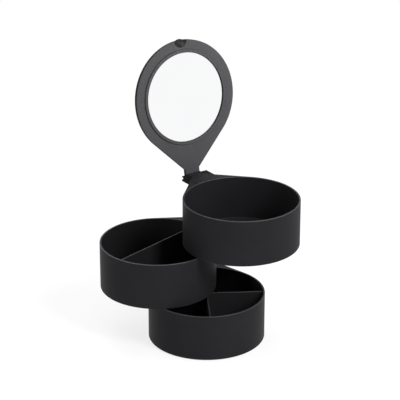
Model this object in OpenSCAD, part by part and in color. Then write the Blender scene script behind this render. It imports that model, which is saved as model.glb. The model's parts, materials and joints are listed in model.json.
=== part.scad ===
// Desk organizer of three equal round trays that swivel on one shaft, with a mirror lid.
// The swivel axis stands at the origin and the feet rest on z = 0.
// Each tray is drawn with its round middle on -Y from the swivel axis and then turned by its own
// swing. The lid is drawn closed and then opened about its hinge.

/* [Trays] */
// Outside radius of a round tray
tray_r = 65; // [57:0.5:75]
// Height of a tray from its underside to its rim
tray_h = 52.5; // [44:0.5:62]
// Thickness of the walls
wall = 1.8; // [1.4:0.1:2.4]
// Thickness of the floor
floor_t = 2; // [1.6:0.1:3]
// Distance from the round wall to the swivel axis
lug_reach = 11; // [10:0.25:14]
// Radius of the corner round the swivel axis
lug_r = 11.5; // [11:0.25:13]
// Thickness of the plate that closes the corner at the top
lug_top_t = 2; // [1.6:0.1:3]
// Gap between one tray and the next
tray_gap = 0.6; // [0.4:0.1:1.2]

/* [Positions] */
// Swing of the middle tray from the base tray
middle_swing = -44; // [-175:1:175]
// Swing of the top tray from the base tray
top_swing = 31; // [-175:1:175]
// Opening angle of the lid from its closed place
lid_open = 99.2; // [60:0.2:110]

/* [Dividers] */
// Thickness of the dividers
divider_t = 1.5; // [1:0.1:2.5]
// Drop of the dividers below the rim
divider_drop = 2; // [1:0.5:12]
// Gap at each end of a divider
divider_gap = 0.3; // [0.2:0.1:1]

/* [Swivel] */
// Radius of the swivel shaft
shaft_r = 4; // [3.4:0.1:4.4]
// Radius of the threaded end of the shaft
thread_r = 3; // [2.5:0.1:3.3]
// Outside radius of the bushes
bush_r = 5.5; // [5:0.1:6]
// Length of a bush
bush_len = 12; // [8:0.5:18]
// Outside radius of the shaft tube in each corner
tube_r = 7.5; // [7:0.1:8.5]
// Height of the web under the shaft's foot, above the base tray's underside
web_z = 11; // [9:0.5:16]
// Thickness of that web
web_t = 3; // [2:0.25:5]
// Thickness of the ribs between tube and walls
rib_t = 1.4; // [1:0.1:2]

/* [Hinge] */
// Width of the hinge bracket
bracket_w = 33.5; // [30:0.5:40]
// Height of the hinge bracket
bracket_h = 6.4; // [6.2:0.1:8]
// Drop of the bracket's ears below its top
ear_step = 0.4; // [0.2:0.05:0.6]
// Distance from the swivel axis to the hinge axis
hinge_back = 15; // [14.6:0.1:17]
// Drop of the hinge axis below the rim
hinge_drop = 3.2; // [3:0.1:4]
// Radius of the hinge pin
pin_r = 1.5; // [1.2:0.05:1.7]
// Radius of the lid's hinge barrel
barrel_r = 3; // [2.6:0.1:3.2]
// Width of the lid's neck and barrel
neck_w = 18.7; // [14:0.1:22]

/* [Lid] */
// Gap between the closed lid and the rim
lid_gap = 0.3; // [0.2:0.1:1]
// Thickness of the mirror frame
frame_t = 2; // [1.8:0.1:3]
// Thickness of the lid cover
cover_t = 2; // [1.6:0.1:3]
// Width from the lid's edge to the edge of the mirror glass
lid_border = 12; // [8:0.5:20]
// Thickness of the mirror glass
glass_t = 2; // [1.8:0.1:2.4]
// Thickness of the foam pad behind the glass
pad_t = 0.7; // [0.4:0.1:1]
// Height of the raised ring round the mirror, below the rim when closed
bezel_proud = 0.9; // [0.5:0.1:2]
// Overlap of the raised ring over the glass
bezel_lap = 2.5; // [1.5:0.1:4]
// Thickness of the raised ring in front of the glass
bezel_t = 1.5; // [0.8:0.1:1.8]
// Radius of the finger scoop at the lid's free end
scoop_r = 8.5; // [6:0.25:10]
// Depth of the finger scoop
scoop_depth = 2.8; // [1:0.1:3]
// Reach of the finger lip past the lid's edge
lip_reach = 1; // [0.4:0.1:2]

/* [Feet] */
// Radius of a rubber foot
foot_r = 5; // [4:0.25:7]
// Height that the feet stand proud
foot_proud = 0.8; // [0.5:0.1:2]
// Depth of the pockets that hold the feet
foot_pocket = 0.6; // [0.4:0.1:1]
// Distance from the base tray's outside to the middle of a foot
foot_inset = 15; // [10:0.5:25]
// Thickness of the cover under the base tray's corner
lug_cover_t = 1.6; // [1.4:0.1:2.4]

/* [Hidden] */
$fn = 96;

// Colours
charcoal = [0.16, 0.16, 0.17];
silver = [0.86, 0.89, 0.91];
steel = [0.68, 0.69, 0.71];
natural = [0.88, 0.87, 0.82];
rubber = [0.07, 0.07, 0.07];
foam = [0.78, 0.77, 0.73];

// Overrun of every cut past the face that it opens
overrun = 1;
// Clearance of a piece that is pressed or screwed in
press_gap = 0.02;
// Clearance of the shaft in its seat in the base tray
seat_gap = 0.05;
// Running clearance on the shaft and on the hinge pin
run_gap = 0.1;
// Play between the faces that slide on each other
slide_gap = 0.05;
// Gap round a piece that is set into a recess
set_gap = 0.15;
// Gap at each side of the lid's neck in the bracket
neck_gap = 0.25;
// Sink of the straight sides below the circles that they run into
side_sink = 0.02;

// Places that follow from the sizes above
pivot_offset = tray_r + lug_reach;
tray_pitch = tray_h + tray_gap;
base_z = foot_proud;
middle_z = base_z + tray_pitch;
top_z = middle_z + tray_pitch;
rim_z = top_z + tray_h;
shelf_z = rim_z - bracket_h;
shaft_foot_z = base_z + web_z + web_t;
inner_r = tray_r - wall;

// Shaft end and the pieces that the nut holds
thread_start = 0.5;
washer_r = 6.5;
washer_t = 0.8;
spring_r = 5.2;
spring_t = 0.8;
spring_slit = 1;
nut_flats = 10;
nut_h = 3;
thread_proud = 0.3;
washer_z = shelf_z + slide_gap;
spring_z = washer_z + washer_t;
nut_z = spring_z + spring_t;
shaft_top_z = nut_z + nut_h + thread_proud;
nut_room_r = 8;
nut_room_top = 1.2;

// Screw that holds the shaft from below
screw_r = 2;
screw_head_r = 3.8;
screw_head_h = 2.6;
screw_grip = 10;
screw_socket_r = 1.6;
screw_socket_h = 1.4;
screw_washer_r = 5;
screw_washer_t = 1;
tapped_depth = 12;
hole_gap = 0.2;

// Bracket screws and their places
small_screw_r = 1.5;
small_head_r = 2.8;
small_head_h = 1.8;
small_screw_grip = 4;
small_tip_room = 0.2;
small_screw_side = 12;
small_screw_front = 6;
small_slot_w = 0.8;
small_slot_h = 0.8;

// Hinge details
ear_back = 1.2;
barrel_gap = 0.7;
bracket_back = hinge_back + ear_back;
slot_front = hinge_back - barrel_r - barrel_gap;
heel_gap = 0.2;
heel_h = 2.6;
pin_recess = 1.55;
pin_len = bracket_w - 2 * pin_recess;

// Lid levels, measured from the rim plane of the top tray
glass_z = bezel_t - bezel_proud;
pad_z = glass_z + glass_t;
frame_top = lid_gap + frame_t;
pad_top = pad_z + pad_t;
mirror_r = tray_r - lid_border;
glass_gap = 0.2;
bezel_wall = 1.1;
bezel_r = mirror_r + glass_gap + bezel_wall;
lip_r = scoop_r + lip_reach;
scoop_ball_r = (scoop_r * scoop_r + scoop_depth * scoop_depth) / (2 * scoop_depth);

// Plug on the lug cover, in the base tray's screw hole
plug_h = 3;
plug_gap = 0.1;

// Angle of the straight side between a big circle and a small one at the given spacing
function side_angle(big_r, small_r, spacing) = asin((big_r - small_r) / spacing);

// Feet round the middle of the base tray, and one under the swivel axis
foot_ring_r = tray_r - foot_inset;
foot_turns = [45, 135, 225, 315];
foot_places = concat([[0, 0]],
    [for (a = foot_turns) [foot_ring_r * cos(a), foot_ring_r * sin(a) - pivot_offset]]);

// Upright block of a round tray, drawn out to a corner at the origin by two straight sides
module drawn_out_block(big_r, small_r, height) {
    a = side_angle(big_r, small_r, pivot_offset);
    big_x = (big_r - side_sink) * cos(a);
    big_y = (big_r - side_sink) * sin(a) - pivot_offset;
    small_x = (small_r - side_sink) * cos(a);
    small_y = (small_r - side_sink) * sin(a);
    tray_cylinder(big_r, height);
    cylinder(r = small_r, h = height);
    linear_extrude(height)
        polygon([[-big_x, big_y], [-small_x, small_y], [small_x, small_y], [big_x, big_y]]);
}

// Upright cylinder about the middle of a tray
module tray_cylinder(r, height) {
    translate([0, -pivot_offset, 0]) cylinder(r = r, h = height);
}

// Space between the round wall and the walls of the corner
module corner_space(gap, height) {
    difference() {
        drawn_out_block(inner_r - gap, lug_r - wall - gap, height);
        translate([0, 0, -overrun]) tray_cylinder(tray_r + gap, height + 2 * overrun);
    }
}

// Hollow of the corner round the shaft tube and its ribs, open at the bottom
module corner_cut(height) {
    rib_turns = [-90, 45, 135];
    translate([0, 0, -overrun]) difference() {
        corner_space(0, height + overrun);
        cylinder(r = tube_r, h = height + 2 * overrun);
        for (a = rib_turns)
            rotate(a) translate([0, -rib_t / 2, 0]) cube([tray_r, rib_t, height + 2 * overrun]);
    }
}

// A tray with its round compartment and a solid corner
module tray_body() {
    difference() {
        drawn_out_block(tray_r, lug_r, tray_h);
        translate([0, 0, floor_t]) tray_cylinder(inner_r, tray_h);
    }
}

// Upright ring, used for bushes and washers
module ring(outer_r, bore_r, height) {
    difference() {
        cylinder(r = outer_r, h = height);
        translate([0, 0, -overrun]) cylinder(r = bore_r, h = height + 2 * overrun);
    }
}

// Places of the trays and of the lid
module base_place() {
    translate([0, 0, base_z]) children();
}

module middle_place() {
    rotate(middle_swing) translate([0, 0, middle_z]) children();
}

module top_place() {
    rotate(top_swing) translate([0, 0, top_z]) children();
}

// The lid frame has its zero at the rim plane, above the swivel axis
module rim_place() {
    rotate(top_swing) translate([0, 0, rim_z]) children();
}

module lid_place() {
    rim_place()
        translate([0, hinge_back, -hinge_drop])
            rotate([-lid_open, 0, 0])
                translate([0, -hinge_back, hinge_drop])
                    children();
}

module base_tray() {
    color(charcoal) base_place() difference() {
        tray_body();
        corner_cut(tray_h - lug_top_t);
        // Seat of the cover under the corner
        translate([0, 0, -overrun]) corner_space(0, lug_cover_t + overrun);
        // Seat of the shaft, its web and the room for the screw's head
        translate([0, 0, web_z + web_t]) cylinder(r = shaft_r + seat_gap, h = tray_h);
        cylinder(r = screw_r + hole_gap, h = tray_h);
        translate([0, 0, -overrun]) cylinder(r = bush_r, h = web_z + overrun);
        // Pockets of the feet
        for (i = [1 : len(foot_places) - 1])
            translate([foot_places[i].x, foot_places[i].y, -overrun])
                cylinder(r = foot_r + set_gap, h = foot_pocket + overrun);
    }
}

module middle_tray() {
    color(charcoal) middle_place() difference() {
        tray_body();
        corner_cut(tray_h - lug_top_t);
        translate([0, 0, -overrun]) cylinder(r = bush_r + press_gap, h = tray_h + 2 * overrun);
    }
}

module top_tray() {
    seat_w = bracket_w + 2 * set_gap;
    seat_wall_w = seat_w + 2 * wall;
    seat_floor = tray_h - bracket_h;
    color(charcoal) top_place() difference() {
        tray_body();
        // Hollow of the corner, full height only beside the bracket's seat
        corner_cut(seat_floor - lug_top_t);
        difference() {
            corner_cut(tray_h - lug_top_t);
            translate([-seat_wall_w / 2, -tray_r, -overrun])
                cube([seat_wall_w, 2 * tray_r, tray_h + overrun]);
        }
        // Seat of the hinge bracket, behind the round wall
        translate([0, 0, seat_floor]) difference() {
            translate([-seat_w / 2, -lug_reach - seat_w / 2, 0])
                cube([seat_w, 2 * tray_r, bracket_h + overrun]);
            translate([0, 0, -overrun]) tray_cylinder(tray_r, bracket_h + 3 * overrun);
        }
        translate([0, 0, -overrun]) cylinder(r = bush_r + press_gap, h = tray_h);
        // Holes of the bracket screws
        for (side = [-1, 1])
            translate([side * small_screw_side, -small_screw_front, 0])
                cylinder(r = small_screw_r + hole_gap, h = tray_h);
    }
}

module base_divider() {
    reach = inner_r - divider_gap;
    height = tray_h - floor_t - divider_drop;
    color(charcoal) base_place() translate([0, -pivot_offset, floor_t])
        for (turn = [0, 90])
            rotate(turn) translate([-reach, -divider_t / 2, 0]) cube([2 * reach, divider_t, height]);
}

module middle_divider() {
    reach = inner_r - divider_gap;
    height = tray_h - floor_t - divider_drop;
    color(charcoal) middle_place() translate([-divider_t / 2, -pivot_offset - reach, floor_t])
        cube([divider_t, 2 * reach, height]);
}

module hinge_bracket() {
    slot_w = neck_w + 2 * neck_gap;
    color(charcoal) rim_place() difference() {
        // Block with a round front that follows the tray's wall
        translate([-bracket_w / 2, -lug_reach - bracket_w / 2, -bracket_h])
            cube([bracket_w, lug_reach + bracket_w / 2 + bracket_back, bracket_h]);
        translate([0, 0, -bracket_h - overrun])
            tray_cylinder(tray_r + set_gap, bracket_h + 2 * overrun);
        // Ears and end outside the corner's outline, a little lower than the rest
        translate([0, 0, -ear_step]) difference() {
            translate([-bracket_w, -bracket_w, 0]) cube([2 * bracket_w, 3 * bracket_w, ear_step + overrun]);
            translate([0, 0, -overrun]) drawn_out_block(tray_r, lug_r, ear_step + 3 * overrun);
        }
        // Room for the nut and the shaft's end
        translate([0, 0, -bracket_h - overrun])
            cylinder(r = nut_room_r, h = bracket_h - nut_room_top + overrun);
        // Slot for the lid's barrel
        translate([-slot_w / 2, slot_front, -bracket_h - overrun])
            cube([slot_w, bracket_back, bracket_h + 2 * overrun]);
        // Pin seats, open to the back so that the pin snaps in
        translate([-bracket_w / 2 - overrun, hinge_back, -hinge_drop]) rotate([0, 90, 0])
            cylinder(r = pin_r + run_gap, h = bracket_w + 2 * overrun);
        // Pilot holes of the screws
        for (side = [-1, 1])
            translate([side * small_screw_side, -small_screw_front, -bracket_h - overrun])
                cylinder(r = small_screw_r + press_gap, h = small_screw_grip + small_tip_room + overrun);
    }
}

module bracket_screws() {
    color(steel) rim_place() for (side = [-1, 1])
        translate([side * small_screw_side, -small_screw_front, -bracket_h - lug_top_t - small_head_h])
            difference() {
                union() {
                    cylinder(r = small_head_r, h = small_head_h);
                    cylinder(r = small_screw_r, h = small_head_h + lug_top_t + small_screw_grip);
                }
                translate([-small_head_r - overrun, -small_slot_w / 2, -overrun])
                    cube([2 * (small_head_r + overrun), small_slot_w, small_slot_h + overrun]);
            }
}

module pivot_shaft() {
    color(steel) difference() {
        union() {
            translate([0, 0, shaft_foot_z])
                cylinder(r = shaft_r, h = shelf_z - thread_start - shaft_foot_z);
            translate([0, 0, shaft_foot_z]) cylinder(r = thread_r, h = shaft_top_z - shaft_foot_z);
        }
        translate([0, 0, shaft_foot_z - overrun])
            cylinder(r = screw_r + press_gap, h = tapped_depth + overrun);
    }
}

module shaft_screw() {
    head_z = base_z + web_z - screw_washer_t - screw_head_h;
    color(steel) translate([0, 0, head_z]) difference() {
        union() {
            cylinder(r = screw_head_r, h = screw_head_h);
            cylinder(r = screw_r, h = screw_head_h + screw_washer_t + web_t + screw_grip);
        }
        translate([0, 0, -overrun]) cylinder(r = screw_socket_r, h = screw_socket_h + overrun, $fn = 6);
    }
}

module shaft_screw_washer() {
    color(steel) translate([0, 0, base_z + web_z - screw_washer_t])
        ring(screw_washer_r, screw_r + hole_gap, screw_washer_t);
}

module thrust_washer(under_z) {
    color(natural) translate([0, 0, under_z + tray_h])
        ring(tube_r, shaft_r + run_gap, tray_gap - slide_gap);
}

module lower_thrust_washer() {
    thrust_washer(base_z);
}

module upper_thrust_washer() {
    thrust_washer(middle_z);
}

// Two bushes, one at each end of a tray's shaft tube
module bush_pair(under_z, over_z) {
    color(natural) for (z = [under_z, over_z - bush_len])
        translate([0, 0, z]) ring(bush_r, shaft_r + run_gap, bush_len);
}

module middle_tray_bushes() {
    bush_pair(middle_z, middle_z + tray_h);
}

module top_tray_bushes() {
    bush_pair(top_z, shelf_z);
}

module tension_washer() {
    color(steel) translate([0, 0, washer_z]) ring(washer_r, thread_r + run_gap, washer_t);
}

module spring_washer() {
    color(steel) translate([0, 0, spring_z]) difference() {
        ring(spring_r, thread_r + run_gap, spring_t);
        translate([0, -spring_slit / 2, -overrun])
            cube([spring_r + overrun, spring_slit, spring_t + 2 * overrun]);
    }
}

module shaft_nut() {
    color(steel) translate([0, 0, nut_z]) difference() {
        cylinder(r = nut_flats / 2 / cos(30), h = nut_h, $fn = 6);
        translate([0, 0, -overrun]) cylinder(r = thread_r + press_gap, h = nut_h + 2 * overrun);
    }
}

module base_lug_cover() {
    color(charcoal) base_place() difference() {
        union() {
            corner_space(set_gap, lug_cover_t);
            translate([0, 0, lug_cover_t]) cylinder(r = bush_r - plug_gap, h = plug_h);
        }
        translate([0, 0, -overrun]) cylinder(r = foot_r + set_gap, h = foot_pocket + overrun);
    }
}

module rubber_feet() {
    color(rubber) for (place = foot_places)
        translate([place.x, place.y, 0]) cylinder(r = foot_r, h = foot_proud + foot_pocket);
}

// Plate of the lid: the round tray, two straight sides and the neck that holds the hinge
module lid_plate(height) {
    a = side_angle(tray_r, lug_r, pivot_offset);
    side_x = (tray_r - side_sink) * cos(a);
    side_y = (tray_r - side_sink) * sin(a) - pivot_offset;
    neck_y = side_y + (side_x - neck_w / 2) * cos(a) / sin(a);
    neck_end = hinge_back + barrel_r;
    tray_cylinder(tray_r, height);
    linear_extrude(height) polygon([
        [-side_x, side_y],
        [-neck_w / 2, neck_y],
        [-neck_w / 2, neck_end],
        [neck_w / 2, neck_end],
        [neck_w / 2, neck_y],
        [side_x, side_y]
    ]);
    // Lip for the finger at the free end
    translate([0, lip_r - lip_reach - tray_r - pivot_offset, 0]) cylinder(r = lip_r, h = height);
}

// Barrel, web and stop heel of the lid's hinge
module lid_knuckle() {
    translate([-neck_w / 2, 0, 0]) {
        translate([0, hinge_back, -hinge_drop]) rotate([0, 90, 0]) cylinder(r = barrel_r, h = neck_w);
        translate([0, hinge_back - barrel_r, -hinge_drop])
            cube([neck_w, 2 * barrel_r, hinge_drop + lid_gap]);
        // The heel meets the front of the bracket's slot when the lid stands open
        translate([0, hinge_back, -hinge_drop]) rotate([lid_open, 0, 0])
            translate([0, slot_front + heel_gap - hinge_back, -heel_h])
                cube([neck_w, hinge_back - slot_front - heel_gap, heel_h]);
    }
}

// Finger scoop at the free end, through the inner shell into the cover
module finger_scoop() {
    translate([0, -tray_r - pivot_offset, lid_gap + scoop_depth - scoop_ball_r]) sphere(scoop_ball_r);
}

module mirror_frame() {
    color(charcoal) lid_place() difference() {
        union() {
            translate([0, 0, lid_gap]) lid_plate(frame_t);
            translate([0, -pivot_offset, -bezel_proud])
                cylinder(r = bezel_r, h = bezel_proud + lid_gap + frame_t / 2);
            lid_knuckle();
        }
        // Sight opening and the seat of the glass
        translate([0, -pivot_offset, -bezel_proud - overrun])
            cylinder(r = mirror_r - bezel_lap, h = bezel_t + 2 * overrun);
        translate([0, -pivot_offset, glass_z]) cylinder(r = mirror_r + glass_gap, h = frame_t + overrun);
        finger_scoop();
        translate([-neck_w / 2 - overrun, hinge_back, -hinge_drop]) rotate([0, 90, 0])
            cylinder(r = pin_r + press_gap, h = neck_w + 2 * overrun);
    }
}

module lid_cover() {
    color(charcoal) lid_place() difference() {
        translate([0, 0, frame_top]) lid_plate(cover_t);
        // Room for the foam pad
        translate([0, -pivot_offset, frame_top - overrun])
            cylinder(r = mirror_r + glass_gap, h = pad_top - frame_top + overrun);
        finger_scoop();
    }
}

module mirror_glass() {
    color(silver) lid_place() translate([0, -pivot_offset, glass_z]) cylinder(r = mirror_r, h = glass_t);
}

module mirror_pad() {
    color(foam) lid_place() translate([0, -pivot_offset, pad_z])
        cylinder(r = mirror_r - pad_t, h = pad_t);
}

module lid_hinge_pin() {
    color(steel) lid_place() translate([-pin_len / 2, hinge_back, -hinge_drop]) rotate([0, 90, 0])
        cylinder(r = pin_r, h = pin_len);
}

base_tray();
middle_tray();
top_tray();
base_divider();
middle_divider();
hinge_bracket();
bracket_screws();
pivot_shaft();
shaft_screw();
shaft_screw_washer();
lower_thrust_washer();
upper_thrust_washer();
middle_tray_bushes();
top_tray_bushes();
tension_washer();
spring_washer();
shaft_nut();
base_lug_cover();
rubber_feet();
lid_cover();
mirror_frame();
mirror_glass();
mirror_pad();
lid_hinge_pin();
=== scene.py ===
import json
import math

import bmesh
import bpy
from mathutils import Matrix, Vector


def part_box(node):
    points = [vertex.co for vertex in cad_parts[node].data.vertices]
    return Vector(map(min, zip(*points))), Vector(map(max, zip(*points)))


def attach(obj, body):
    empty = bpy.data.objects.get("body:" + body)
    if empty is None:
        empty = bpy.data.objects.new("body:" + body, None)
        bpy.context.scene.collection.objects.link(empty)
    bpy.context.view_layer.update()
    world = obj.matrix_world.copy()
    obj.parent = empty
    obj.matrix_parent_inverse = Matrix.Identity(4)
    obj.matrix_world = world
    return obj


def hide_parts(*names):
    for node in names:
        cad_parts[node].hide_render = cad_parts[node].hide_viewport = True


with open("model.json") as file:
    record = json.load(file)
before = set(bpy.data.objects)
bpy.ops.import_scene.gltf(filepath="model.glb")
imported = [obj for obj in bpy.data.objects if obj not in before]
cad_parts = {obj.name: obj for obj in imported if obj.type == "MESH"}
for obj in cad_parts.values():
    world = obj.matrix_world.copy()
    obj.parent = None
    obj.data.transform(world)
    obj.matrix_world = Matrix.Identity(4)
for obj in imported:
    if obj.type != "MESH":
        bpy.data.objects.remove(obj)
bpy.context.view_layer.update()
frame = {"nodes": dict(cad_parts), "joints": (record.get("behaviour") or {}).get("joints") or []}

cadNodes = frame["nodes"]
mm = 0.001


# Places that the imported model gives

def jointNamed(name):
    return next(j for j in frame["joints"] if j["name"] == name)


def swingOf(point):
    # turn about the swivel axis that carries -Y to this point
    return math.atan2(point.x, -point.y)


def middleOf(node):
    low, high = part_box(node)
    return (low + high) / 2


lidHinge = jointNamed("lid_hinge")
hingeAxis = Vector(lidHinge["axis"])
hingePoint = Vector(lidHinge["pos_m"])
lidTravel = math.radians(lidHinge["range_deg"][1])

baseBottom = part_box("base_tray")[0].z
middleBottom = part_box("middle_tray")[0].z
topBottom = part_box("top_tray")[0].z
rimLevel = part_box("top_tray")[1].z
trayHeight = rimLevel - topBottom

# Local frames: a tray's own has its round middle on -Y and its underside at 0,
# the bracket's has its zero at the rim, and the lid's is the closed lid's over the rim
baseFrame = Matrix.Translation((0, 0, baseBottom))
middleTurn = Matrix.Rotation(swingOf(middleOf("middle_divider")), 4, "Z")
middleFrame = middleTurn @ Matrix.Translation((0, 0, middleBottom))
topTurn = Matrix.Rotation(math.atan2(hingeAxis.y, hingeAxis.x), 4, "Z")
topFrame = topTurn @ Matrix.Translation((0, 0, topBottom))
rimFrame = topTurn @ Matrix.Translation((0, 0, rimLevel))
lidOpened = (Matrix.Translation(hingePoint) @ Matrix.Rotation(-lidTravel, 4, hingeAxis)
             @ Matrix.Translation(-hingePoint))
lidFrame = lidOpened @ rimFrame

trayMiddle = Vector((0, middleOf("base_divider").y, 0))
trayRadius = (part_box("base_tray")[1].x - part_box("base_tray")[0].x) / 2
freeEnd = trayMiddle.y - trayRadius
hingeBack = math.hypot(hingePoint.x, hingePoint.y)


def fromMiddle(point):
    return math.hypot(point.x - trayMiddle.x, point.y - trayMiddle.y)


def fromFreeEnd(point):
    return math.hypot(point.x, point.y - freeEnd)


print("frame read: tray radius", round(trayRadius / mm, 2), "mm, rim at", round(rimLevel / mm, 2), "mm")


# Shader maths as expressions

class Value:
    def __init__(self, shader, socket):
        self.shader = shader
        self.socket = socket

    def maths(self, operation, first, second):
        return self.shader.node("ShaderNodeMath", {"operation": operation}, {0: first, 1: second})

    def __add__(self, other):
        return self.maths("ADD", self, other)

    __radd__ = __add__

    def __sub__(self, other):
        return self.maths("SUBTRACT", self, other)

    def __rsub__(self, other):
        return self.maths("SUBTRACT", other, self)

    def __mul__(self, other):
        return self.maths("MULTIPLY", self, other)

    __rmul__ = __mul__


class Shader:
    def __init__(self, name, owner=None):
        self.material = owner or bpy.data.materials.new(name)
        self.material.use_nodes = True
        self.tree = self.material.node_tree
        self.tree.nodes.clear()

    def node(self, kind, settings=None, inputs=None, output=0):
        # adds a node, sets it, fills its sockets with numbers or links, and gives back one output
        made = self.tree.nodes.new(kind)
        for setting, wanted in (settings or {}).items():
            setattr(made, setting, wanted)
        for socket, wanted in (inputs or {}).items():
            if isinstance(wanted, Value):
                self.tree.links.new(wanted.socket, made.inputs[socket])
            else:
                made.inputs[socket].default_value = wanted
        return Value(self, made.outputs[output]) if made.outputs else None

    def place(self, scale=(1, 1, 1)):
        spot = self.node("ShaderNodeTexCoord", output="Object")
        return self.node("ShaderNodeMapping", None, {"Vector": spot, "Scale": scale})

    def noise(self, spot, scale, detail=2.0, roughness=0.5):
        return self.node("ShaderNodeTexNoise", None,
                         {"Vector": spot, "Scale": scale, "Detail": detail, "Roughness": roughness})

    def mixColour(self, factor, first, second):
        return self.node("ShaderNodeMix", {"data_type": "RGBA"}, {0: factor, 6: first, 7: second}, output=2)

    def bump(self, height, distance):
        return self.node("ShaderNodeBump", None, {"Height": height, "Distance": distance})

    def surface(self, inputs):
        return self.finish(self.node("ShaderNodeBsdfPrincipled", None, inputs))

    def finish(self, shaded, kind="ShaderNodeOutputMaterial"):
        self.node(kind, None, {"Surface": shaded})
        return self.material


def grey(level, tint=(1.0, 1.0, 1.0)):
    return tuple(level * part for part in tint)


# Finishes

charcoalLook = {
    "level": 0.0134, "tint": (1.0, 0.985, 1.09), "unevenness": 0.14, "cloudScale": 28.0,
    "roughness": 0.5, "smudgeScale": 16.0, "smudgeStretch": (1.0, 1.0, 0.35), "smudgeGloss": 0.10,
    "grainSize": 0.35 * mm, "grainDepth": 0.03 * mm, "grainGloss": 0.06, "specular": 0.04,
}
# the bracket's ears and sides in a darker, coarser copy of the charcoal: painted shade on the faces that do
# not face up
coarsePaintedShadeLook = dict(charcoalLook, level=0.0058, roughness=0.6, specular=0.03, grainDepth=0.05 * mm)
# the lid's front in a lighter copy of the charcoal: painted light, where the same plastic is lit more
# brightly
lidPaintedLightLook = dict(charcoalLook, level=0.030, roughness=0.42, specular=0.36)
# the scoop in a darker copy of the charcoal: painted shade in the recess, with a real smoother gloss
scoopPaintedShadeLook = dict(charcoalLook, level=0.010, roughness=0.36, specular=0.10, grainDepth=0.002 * mm)
# rounded edges in a glossier finish whose lighter colour is a painted highlight
edgeGlossPaintedHighlightLook = dict(charcoalLook, level=0.018, roughness=0.44, specular=0.34, grainDepth=0.001 * mm)


def mouldedPlastic(name, look):
    # fine eroded grain of a moulded part, a little cloudy in colour and in gloss
    shader = Shader(name)
    spot = shader.place()
    cloud = shader.noise(spot, look["cloudScale"], detail=3.0)
    grain = shader.noise(spot, 1 / look["grainSize"], roughness=0.6)
    smudge = shader.noise(shader.place(look["smudgeStretch"]), look["smudgeScale"],
                          detail=4.0, roughness=0.62)
    dark = grey(look["level"] * (1 - look["unevenness"]), look["tint"])
    light = grey(look["level"] * (1 + look["unevenness"]), look["tint"])
    colour = shader.mixColour(cloud, (*dark, 1), (*light, 1))
    gloss = (look["roughness"] + (smudge - 0.5) * look["smudgeGloss"]
             + (grain - 0.5) * look["grainGloss"])
    return shader.surface({
        "Base Color": colour,
        "Roughness": gloss,
        "Specular IOR Level": look["specular"],
        "Normal": shader.bump(grain, look["grainDepth"]),
    })


silverLook = {
    "dark": (0.925, 0.93, 0.94), "light": (0.955, 0.955, 0.96), "hazeScale": 22.0,
    "roughness": 0.012, "hazeGloss": 0.008,
}


def mirrorSilver(name, look):
    shader = Shader(name)
    haze = shader.noise(shader.place(), look["hazeScale"])
    return shader.surface({
        "Base Color": shader.mixColour(haze, (*look["dark"], 1), (*look["light"], 1)),
        "Metallic": 1.0,
        "Roughness": look["roughness"] + haze * look["hazeGloss"],
    })


zincLook = {
    "dark": 0.34, "light": 0.46, "stainScale": 160.0, "roughness": 0.26, "stainGloss": 0.14,
    "ringScale": 900.0, "ringWaver": 1.5, "ringDepth": 0.004 * mm,
}
blackenedLook = dict(zincLook, dark=0.045, light=0.08, roughness=0.34)


def turnedSteel(name, look):
    # fine rings of the lathe along the vertical axis
    shader = Shader(name)
    rings = shader.node("ShaderNodeTexWave", {"wave_type": "BANDS", "bands_direction": "Z"},
                        {"Vector": shader.place(), "Scale": look["ringScale"],
                         "Distortion": look["ringWaver"], "Detail": 2.0}, output="Fac")
    stain = shader.noise(shader.place(), look["stainScale"], detail=3.0)
    return shader.surface({
        "Base Color": shader.mixColour(stain, (*grey(look["dark"]), 1), (*grey(look["light"]), 1)),
        "Metallic": 1.0,
        "Roughness": look["roughness"] + stain * look["stainGloss"],
        "Normal": shader.bump(rings, look["ringDepth"]),
    })


acetalLook = {
    "dark": (0.70, 0.69, 0.63), "light": (0.78, 0.77, 0.72), "cloudScale": 90.0,
    "roughness": 0.34, "poreSize": 0.6 * mm, "poreDepth": 0.004 * mm, "poreGloss": 0.1,
}
rubberLook = dict(acetalLook, dark=(0.010, 0.010, 0.010), light=(0.020, 0.020, 0.020), roughness=0.78,
                  poreSize=0.4 * mm, poreDepth=0.02 * mm)
foamLook = dict(acetalLook, dark=(0.50, 0.49, 0.44), light=(0.60, 0.59, 0.54), roughness=0.85,
                poreSize=0.5 * mm, poreDepth=0.08 * mm)


def softPolymer(name, look):
    shader = Shader(name)
    pores = shader.noise(shader.place(), 1 / look["poreSize"], detail=3.0, roughness=0.6)
    cloud = shader.noise(shader.place(), look["cloudScale"])
    return shader.surface({
        "Base Color": shader.mixColour(cloud, (*look["dark"], 1), (*look["light"], 1)),
        "Roughness": look["roughness"] + (pores - 0.5) * look["poreGloss"],
        "Normal": shader.bump(pores, look["poreDepth"]),
    })


charcoal = mouldedPlastic("charcoalMouldedPlastic", charcoalLook)
coarseCharcoalPaintedShade = mouldedPlastic("coarsePlasticPaintedShade", coarsePaintedShadeLook)
lidCharcoalPaintedLight = mouldedPlastic("lidPlasticPaintedLight", lidPaintedLightLook)
glossyEdgePaintedHighlight = mouldedPlastic("polishedEdgePlasticPaintedHighlight", edgeGlossPaintedHighlightLook)
smoothScoopPaintedShade = mouldedPlastic("smoothPlasticPaintedShade", scoopPaintedShadeLook)
silvering = mirrorSilver("mirrorSilvering", silverLook)
steel = turnedSteel("zincPlatedSteel", zincLook)
blackSteel = turnedSteel("blackenedSteel", blackenedLook)
acetal = softPolymer("naturalAcetal", acetalLook)
rubber = softPolymer("footRubber", rubberLook)
foam = softPolymer("padFoam", foamLook)
print("finishes made:", len(bpy.data.materials))


# Pieces

near = 0.03 * mm
meshCare = {"mergeWithin": 0.002 * mm, "flatWithin": 0.4, "roundFrom": 35.0, "creaseFrom": 32.0}


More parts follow.
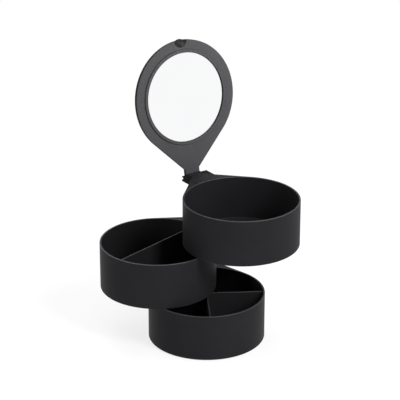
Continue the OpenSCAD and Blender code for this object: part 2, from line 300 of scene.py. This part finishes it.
def pieceFrom(bm, name, body, replaced, materials):
    mesh = bpy.data.meshes.new(name)
    bm.to_mesh(mesh)
    bm.free()
    mesh.polygons.foreach_set("use_smooth", [True] * len(mesh.polygons))
    mesh.set_sharp_from_angle(angle=math.radians(meshCare["creaseFrom"]))
    for material in materials:
        mesh.materials.append(material)
    piece = bpy.data.objects.new(name, mesh)
    bpy.context.scene.collection.objects.link(piece)
    even = piece.modifiers.new("even", "WEIGHTED_NORMAL")
    even.keep_sharp = True
    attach(piece, body)
    if replaced:
        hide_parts(*replaced)
    return piece


def mergedCopy(node, local):
    # the node's surface as one clean shell, in the piece's own frame
    bm = bmesh.new()
    bm.from_mesh(cadNodes[node].data)
    bmesh.ops.remove_doubles(bm, verts=bm.verts, dist=meshCare["mergeWithin"])
    bm.transform(local.inverted())
    bmesh.ops.dissolve_limit(bm, angle_limit=math.radians(meshCare["flatWithin"]),
                             verts=bm.verts, edges=bm.edges)
    return bm


def roundEdges(bm, inPlace, width, segments, polish=1, hollowToo=False):
    # rounds the sharp edges whose two ends are in the place asked for; polish is the slot of the new faces'
    # finish, and slot 1 in the trays, dividers and lid frame is the polished edge finish, real gloss with a
    # lighter colour painted as a highlight
    sharpFrom = math.radians(meshCare["roundFrom"])
    sharp = [e for e in bm.edges
             if len(e.link_faces) == 2 and e.calc_face_angle(0) > sharpFrom
             and (hollowToo or e.is_convex) and all(inPlace(v.co) for v in e.verts)]
    if sharp:
        made = bmesh.ops.bevel(bm, geom=sharp, offset=width, offset_type="OFFSET", segments=segments,
                               profile=0.5, affect="EDGES", clamp_overlap=True, material=-1)
        for face in made["faces"]:
            face.material_index = polish
    return len(sharp)


# the wall, floor and corner repeat the solid's own sizes, to find its edges
trayLook = {
    "rimRound": 0.55 * mm, "footRound": 0.7 * mm, "floorFillet": 1.4 * mm, "segments": 4,
    "wall": 1.8 * mm, "floor": 2.0 * mm, "axisRoom": 9.0 * mm,
    "cornerRadius": 11.4 * mm, "cornerFrom": -20.0 * mm,
}


def makeTray(node, name, local, body):
    bm = mergedCopy(node, local)
    look = trayLook
    inner = trayRadius - look["wall"]

    def onRim(p):
        return p.z > trayHeight - near and math.hypot(p.x, p.y) > look["axisRoom"]

    def onFoot(p):
        onCorner = math.hypot(p.x, p.y) > look["cornerRadius"] and p.y > look["cornerFrom"]
        return p.z < near and (fromMiddle(p) > trayRadius - near or onCorner)

    def onFloor(p):
        return abs(p.z - look["floor"]) < near and abs(fromMiddle(p) - inner) < near * 3

    # rims and feet round into slot 1, the glossy edge finish with its painted highlight
    rounded = [roundEdges(bm, onFloor, look["floorFillet"], look["segments"], polish=0, hollowToo=True),
               roundEdges(bm, onRim, look["rimRound"], look["segments"]),
               roundEdges(bm, onFoot, look["footRound"], look["segments"])]
    bm.transform(local)
    print(name, "edges rounded:", rounded)
    return pieceFrom(bm, name, body, [node], [charcoal, glossyEdgePaintedHighlight])


dividerLook = {"topWithin": 2.5 * mm, "topRound": 0.4 * mm, "segments": 3}


def makeDivider(node, name, local, body):
    look = dividerLook
    bm = mergedCopy(node, local)
    # the top rounds into slot 1, the glossy edge finish with its painted highlight
    roundEdges(bm, lambda p: p.z > trayHeight - look["topWithin"], look["topRound"], look["segments"])
    bm.transform(local)
    return pieceFrom(bm, name, body, [node], [charcoal, glossyEdgePaintedHighlight])


bracketLook = {
    "earStep": 0.4 * mm, "topRound": 0.2 * mm, "earRound": 0.35 * mm, "segments": 3, "level": 0.9,
}


def makeBracket():
    # its top carries the tray's finish, its ears and sides a coarser one in a darker copy, painted shade on
    # every face that doesn't face up
    look = bracketLook
    bm = mergedCopy("hinge_bracket", rimFrame)
    for face in bm.faces:
        onTop = face.calc_center_median().z > -near and face.normal.z > look["level"]
        face.material_index = 0 if onTop else 1
    roundEdges(bm, lambda p: p.z > -near, look["topRound"], look["segments"], polish=0)
    # the ears' rounded edges take slot 1, the darker copy with its painted shade
    roundEdges(bm, lambda p: abs(p.z + look["earStep"]) < near, look["earRound"], look["segments"])
    bm.transform(rimFrame)
    return pieceFrom(bm, "hingeBracket", "top", ["hinge_bracket"],
                     [charcoal, coarseCharcoalPaintedShade])


# the closed lid's levels over the rim, the reach of its forms, and how far its edges are rounded
lidEdges = {
    "bezelFace": -0.9 * mm, "innerFace": 0.3 * mm, "seam": 2.3 * mm, "outerFace": 4.3 * mm,
    "bezelMiddle": 52.4 * mm, "bezelReach": 56.0 * mm, "rimFrom": 58.0 * mm, "scoopReach": 8.7 * mm,
    "barrelReach": 3.2 * mm, "upright": 0.3,
    "bezelRound": 0.42 * mm, "innerRound": 0.35 * mm, "seamRound": 0.22 * mm, "outerRound": 0.8 * mm,
    "bezelSteps": 6, "innerSteps": 3, "seamSteps": 2, "outerSteps": 4,
}


def inScoop(face):
    middle = face.calc_center_median()
    beyond = middle.z > lidEdges["innerFace"] + near and face.normal.z < -lidEdges["upright"]
    return beyond and fromFreeEnd(middle) < lidEdges["scoopReach"]


def onSeam(p):
    # the lid's outer parting line, but not across the scoop
    outside = fromMiddle(p) > lidEdges["rimFrom"] and fromFreeEnd(p) > lidEdges["scoopReach"]
    return abs(p.z - lidEdges["seam"]) < near and outside


def makeLidFrame():
    look = lidEdges
    finishes = [lidCharcoalPaintedLight, glossyEdgePaintedHighlight, charcoal, smoothScoopPaintedShade]
    # plain is the lid's lighter copy, painted light; matt the plain charcoal; smooth the scoop's darker
    # copy, painted shade with a real smoother gloss
    plain, matt, smooth = (finishes.index(finish) for finish in (lidCharcoalPaintedLight, charcoal, smoothScoopPaintedShade))
    bm = mergedCopy("mirror_frame", lidFrame)

    def onBezel(p):
        return abs(p.z - look["bezelFace"]) < near and fromMiddle(p) < look["bezelReach"]

    def onInnerBezel(p):
        return onBezel(p) and fromMiddle(p) < look["bezelMiddle"]

    def onOuterBezel(p):
        return onBezel(p) and fromMiddle(p) > look["bezelMiddle"]

    def onInnerFace(p):
        return look["innerFace"] - near < p.z < look["seam"] - near and p.y < 0

    def onScoopRim(p):
        return abs(p.z - look["innerFace"]) < near and fromFreeEnd(p) < look["scoopReach"]

    def onSide(face):
        return abs(face.normal.z) < look["upright"] and face.calc_center_median().z > look["innerFace"]

    def onBezelWall(face):
        middle = face.calc_center_median()
        inner = middle.z < look["innerFace"] and fromMiddle(middle) < look["bezelReach"]
        return abs(face.normal.z) < look["upright"] and inner

    def onBarrel(p):
        return p.y > hingeBack - look["barrelReach"] and p.z < look["innerFace"] - near

    def onHeel(p):
        return p.y > 0 and p.z > look["seam"] - near

    # faces keep the lid's lighter copy, painted light, unless they are sides, bezel walls or barrel, which
    # keep the plain charcoal
    for face in bm.faces:
        middle = face.calc_center_median()
        if onSide(face) or onBezelWall(face) or onBarrel(middle):
            face.material_index = matt
        # the scoop's faces take the darker copy, painted shade in the recess
        if inScoop(face):
            face.material_index = smooth
    roundEdges(bm, onInnerBezel, look["bezelRound"], look["bezelSteps"], matt)
    # the outer bezel and scoop rim round into the glossy edge finish with its painted highlight
    roundEdges(bm, onOuterBezel, look["bezelRound"], look["bezelSteps"])
    roundEdges(bm, lambda p: onSeam(p) and p.y < 0, look["seamRound"], look["seamSteps"], matt)
    roundEdges(bm, onScoopRim, look["innerRound"], look["innerSteps"])
    roundEdges(bm, onInnerFace, look["innerRound"], look["innerSteps"], matt)
    roundEdges(bm, onHeel, look["innerRound"], look["seamSteps"], plain)
    bm.transform(lidFrame)
    return pieceFrom(bm, "mirrorFrame", "lid", ["mirror_frame"], finishes)


def makeLidCover():
    look = lidEdges
    bm = mergedCopy("lid_cover", lidFrame)
    for face in bm.faces:
        # the scoop's faces take the darker copy, painted shade in the recess
        if inScoop(face):
            face.material_index = 1
    roundEdges(bm, lambda p: p.z > look["outerFace"] - near, look["outerRound"], look["outerSteps"], 0)
    roundEdges(bm, onSeam, look["seamRound"], look["seamSteps"], 0)
    bm.transform(lidFrame)
    return pieceFrom(bm, "lidCover", "lid", ["lid_cover"], [charcoal, smoothScoopPaintedShade])


# round marks that the ejector pins leave on the bracket's plate, as shallow rings
bracketMarks = {
    "places": ((5.1 * mm, 8.1 * mm), (10.7 * mm, 0.9 * mm)), "radius": 1.5 * mm, "segments": 40,
    "proud": 0.10 * mm, "rim": 0.30 * mm, "sink": 0.07 * mm,
}


def makeBracketMarks():
    look = bracketMarks
    bm = bmesh.new()
    for x, y in look["places"]:
        disc = bmesh.ops.create_circle(bm, cap_ends=True, segments=look["segments"],
                                       radius=look["radius"], matrix=Matrix.Translation((x, y, -near)))
        face = disc["verts"][0].link_faces[0]
        raised = bmesh.ops.extrude_face_region(bm, geom=[face])
        top = next(f for f in raised["geom"] if isinstance(f, bmesh.types.BMFace))
        bmesh.ops.translate(bm, verts=top.verts, vec=(0, 0, look["proud"] + near))
        bmesh.ops.inset_individual(bm, faces=[top], thickness=look["rim"], depth=0.0)
        bmesh.ops.translate(bm, verts=top.verts, vec=(0, 0, -look["sink"]))
    bmesh.ops.recalc_face_normals(bm, faces=bm.faces)
    bm.transform(rimFrame)
    return pieceFrom(bm, "bracketMarks", "top", [], [charcoal])


feetLook = {"footRound": 0.3 * mm, "segments": 3}


def makeFeet():
    bm = mergedCopy("rubber_feet", Matrix.Identity(4))
    roundEdges(bm, lambda p: p.z < near, feetLook["footRound"], feetLook["segments"], polish=0)
    return pieceFrom(bm, "rubberFeet", "base", ["rubber_feet"], [rubber])


makeTray("base_tray", "baseTray", baseFrame, "base")
makeTray("middle_tray", "middleTray", middleFrame, "middle")
makeTray("top_tray", "topTray", topFrame, "top")
makeDivider("base_divider", "baseDivider", baseFrame, "base")
makeDivider("middle_divider", "middleDivider", middleFrame, "middle")
makeBracket()
makeBracketMarks()
makeLidFrame()
makeLidCover()
makeFeet()
print("shells made")


def dress(node, material):
    shown = cadNodes[node]
    shown.data.materials.clear()
    shown.data.materials.append(material)


nodeFinishes = {
    "mirror_glass": silvering,
    "mirror_pad": foam,
    "base_lug_cover": charcoal,
    "pivot_shaft": steel,
    "shaft_screw": steel,
    "shaft_screw_washer": steel,
    "tension_washer": steel,
    "spring_washer": steel,
    "shaft_nut": steel,
    "bracket_screws": steel,
    "lid_hinge_pin": blackSteel,
    "lower_thrust_washer": acetal,
    "upper_thrust_washer": acetal,
    "middle_tray_bushes": acetal,
    "top_tray_bushes": acetal,
}
for nodeName, nodeFinish in nodeFinishes.items():
    dress(nodeName, nodeFinish)
print("carried-over nodes finished:", len(nodeFinishes))


# Floor, light and camera

studio = {
    "floorSize": 12.0, "floorDrop": 0.1 * mm, "floorGrey": 0.86, "skyFill": 0.32,
    "shadowKept": 0.2, "shadowFadesFrom": 0.25, "shadowFadesTo": 0.6,
}


def makeFloor():
    # pale floor: white to mirrors and, away from the object, to the camera
    bm = bmesh.new()
    bmesh.ops.create_grid(bm, x_segments=1, y_segments=1, size=studio["floorSize"] / 2,
                          matrix=Matrix.Translation((0, 0, -studio["floorDrop"])))
    mesh = bpy.data.meshes.new("floor")
    bm.to_mesh(mesh)
    bm.free()
    shader = Shader("paleFloor")
    level = studio["floorGrey"]
    away = shader.node("ShaderNodeVectorMath", {"operation": "LENGTH"}, {0: shader.place()}, output="Value")
    faded = shader.node("ShaderNodeMapRange", {"interpolation_type": "SMOOTHSTEP"},
                        {"Value": away, "From Min": studio["shadowFadesFrom"],
                         "From Max": studio["shadowFadesTo"],
                         "To Min": 1 - studio["shadowKept"], "To Max": 1.0})
    byCamera = shader.node("ShaderNodeLightPath", output="Is Camera Ray")
    byMirror = shader.node("ShaderNodeLightPath", output="Is Glossy Ray")
    byGlass = shader.node("ShaderNodeLightPath", output="Is Transmission Ray")
    plain = shader.node("ShaderNodeBsdfDiffuse", None, {"Color": (level, level, level, 1)})
    white = shader.node("ShaderNodeEmission", None, {"Color": (1, 1, 1, 1), "Strength": 1.0})
    shader.finish(shader.node("ShaderNodeMixShader", None,
                              {0: byCamera * faded + byMirror + byGlass, 1: plain, 2: white}))
    mesh.materials.append(shader.material)
    floor = bpy.data.objects.new("floor", mesh)
    bpy.context.scene.collection.objects.link(floor)


def makeSky():
    # even fill from all round, which the camera, mirrors and glass see as white
    world = bpy.data.worlds.new("studioSky")
    bpy.context.scene.world = world
    shader = Shader("studioSky", world)
    seen = (shader.node("ShaderNodeLightPath", output="Is Camera Ray")
            + shader.node("ShaderNodeLightPath", output="Is Glossy Ray")
            + shader.node("ShaderNodeLightPath", output="Is Transmission Ray"))
    fill = shader.node("ShaderNodeBackground", None, {"Color": (1, 1, 1, 1), "Strength": studio["skyFill"]})
    white = shader.node("ShaderNodeBackground", None, {"Color": (1, 1, 1, 1), "Strength": 1.0})
    chosen = shader.node("ShaderNodeMixShader", None, {0: seen, 1: fill, 2: white})
    shader.finish(chosen, "ShaderNodeOutputWorld")


# places and sizes in metres, powers in watts
lamps = {
    "softRight": {"from": (0.93, -1.12, 1.30), "size": (0.5, 0.9), "power": 30.0},
    "stripRight": {"from": (1.80, -0.50, 0.75), "size": (0.36, 0.7), "power": 12.0},
    "stripLeft": {"from": (-1.35, -1.25, 0.50), "size": (0.36, 0.8), "power": 8.0},
    "softTop": {"from": (-0.1, -0.1, 1.9), "size": (1.2, 1.2), "power": 10.0},
    "softBack": {"from": (-0.3, 1.2, 1.5), "size": (1.0, 1.0), "power": 19.0},
}


def makeLamps():
    target = Vector((0, trayMiddle.y / 2, rimLevel / 2))
    for name, lamp in lamps.items():
        data = bpy.data.lights.new(name, "AREA")
        data.shape = "RECTANGLE"
        data.size, data.size_y = lamp["size"]
        data.energy = lamp["power"]
        light = bpy.data.objects.new(name, data)
        light.location = lamp["from"]
        light.rotation_euler = (target - light.location).to_track_quat("-Z", "Y").to_euler()
        bpy.context.scene.collection.objects.link(light)


# Camera of the photograph: where it stands, how many degrees it looks down and to the right,
# and its lens and sensor in millimetres
photoCamera = {
    "place": (-116.1 * mm, -1829.5 * mm, 897.4 * mm),
    "down": 22.678, "right": 3.55, "lens": 157.3, "sensor": 36.0, "sees": (0.05, 50.0),
}


def makeCamera():
    data = bpy.data.cameras.new("photoCamera")
    data.lens = photoCamera["lens"]
    data.sensor_width = photoCamera["sensor"]
    data.clip_start, data.clip_end = photoCamera["sees"]
    camera = bpy.data.objects.new("photoCamera", data)
    camera.location = photoCamera["place"]
    camera.rotation_euler = (math.radians(90 - photoCamera["down"]), 0, -math.radians(photoCamera["right"]))
    bpy.context.scene.collection.objects.link(camera)
    bpy.context.scene.camera = camera


makeFloor()
makeSky()
makeLamps()
makeCamera()
bpy.context.scene.view_settings.view_transform = "Standard"
print("studio ready")
